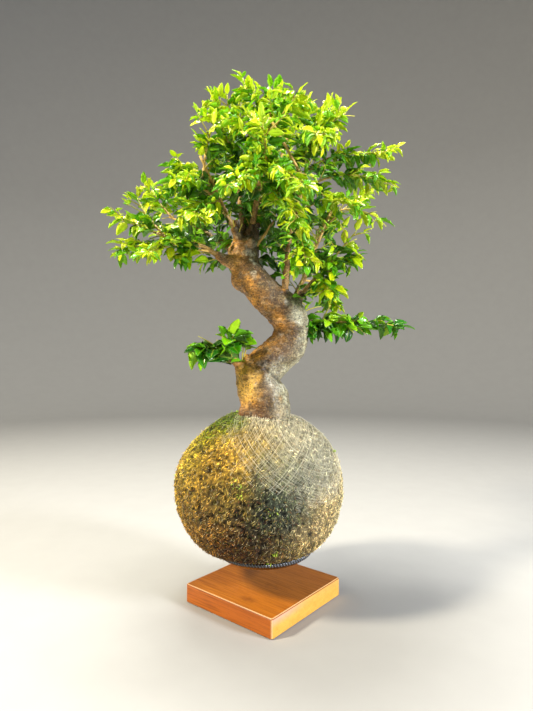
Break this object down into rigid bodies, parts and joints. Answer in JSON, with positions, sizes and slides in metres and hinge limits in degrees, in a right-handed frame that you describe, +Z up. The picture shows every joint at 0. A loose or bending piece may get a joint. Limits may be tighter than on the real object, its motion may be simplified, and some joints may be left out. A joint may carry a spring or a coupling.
{
  "type": "levitating kokedama bonsai",
  "caption": "Small tree with an S-shaped trunk in a moss-wrapped ball of soil, whose magnet dish floats above a square wooden levitation base and turns freely.",
  "frame": {"origin": "centre of the base's underside, on the vertical axis about which the floating ball turns", "axes": "+Z up, -Y towards the viewer of the tree's front, +X to that viewer's right; the square base is turned -39.6 degrees about Z"},
  "size_m": [0.3376, 0.26, 0.5906],
  "materials": {
    "base_wood": "satin lacquered, straight warm grain",
    "black_plastic": "fine matte",
    "circuit_board": "green solder mask",
    "copper_winding": "enamelled copper wire",
    "magnet_metal": "plated magnet",
    "dish_gloss": "black gloss, ribbed rim",
    "moss": "matted dry moss fibre under fine thread",
    "soil": "damp dark soil",
    "bark": "smooth bark, tan with grey patches",
    "leaf": "glossy leaf"
  },
  "bodies": {
    "base": {"base_case": "base_wood", "base_plate": "black_plastic", "circuit_board": "circuit_board", "ring_magnet": "magnet_metal", "power_socket": "black_plastic", "coil_1": "copper_winding", "coil_2": "copper_winding", "coil_3": "copper_winding", "coil_4": "copper_winding"},
    "ball": {"magnet_dish": "dish_gloss", "magnet_puck": "magnet_metal", "moss_wrap": "moss", "soil_core": "soil", "tree_wood": "bark", "shoot_left_low_1": "leaf", "shoot_left_low_2": "leaf", "shoot_left_low_3": "leaf", "shoot_left_low_4": "leaf", "shoot_left_low_5": "leaf", "shoot_left_back_1": "leaf", "shoot_left_back_2": "leaf", "shoot_left_back_3": "leaf", "shoot_left_up_1": "leaf", "shoot_left_up_2": "leaf", "shoot_left_up_3": "leaf", "shoot_left_up_4": "leaf", "shoot_top_left_1": "leaf", "shoot_top_left_2": "leaf", "shoot_top_left_3": "leaf", "shoot_top_left_4": "leaf", "shoot_top_mid_1": "leaf", "shoot_top_mid_2": "leaf", "shoot_top_mid_3": "leaf", "shoot_top_mid_4": "leaf", "shoot_top_back_1": "leaf", "shoot_top_back_2": "leaf", "shoot_top_back_3": "leaf", "shoot_top_back_4": "leaf", "shoot_front_up_1": "leaf", "shoot_front_up_2": "leaf", "shoot_front_up_3": "leaf", "shoot_front_up_4": "leaf", "shoot_right_tall_1": "leaf", "shoot_right_tall_2": "leaf", "shoot_right_tall_3": "leaf", "shoot_right_tall_4": "leaf", "shoot_right_tall_5": "leaf", "shoot_right_tall_6": "leaf", "shoot_right_tall_7": "leaf", "shoot_right_mid_1": "leaf", "shoot_right_mid_2": "leaf", "shoot_right_mid_3": "leaf", "shoot_right_low_1": "leaf", "shoot_right_low_2": "leaf", "shoot_right_back_1": "leaf", "shoot_right_back_2": "leaf", "shoot_right_back_3": "leaf", "shoot_right_back_4": "leaf", "shoot_stump_side_1": "leaf", "shoot_stump_side_2": "leaf"}
  },
  "joints": [
    {"name": "levitation_spin", "type": "hinge", "parent": "base", "child": "ball", "pos_m": [0, 0, 0.046], "axis": [0, 0, 1], "continuous": true}
  ]
}
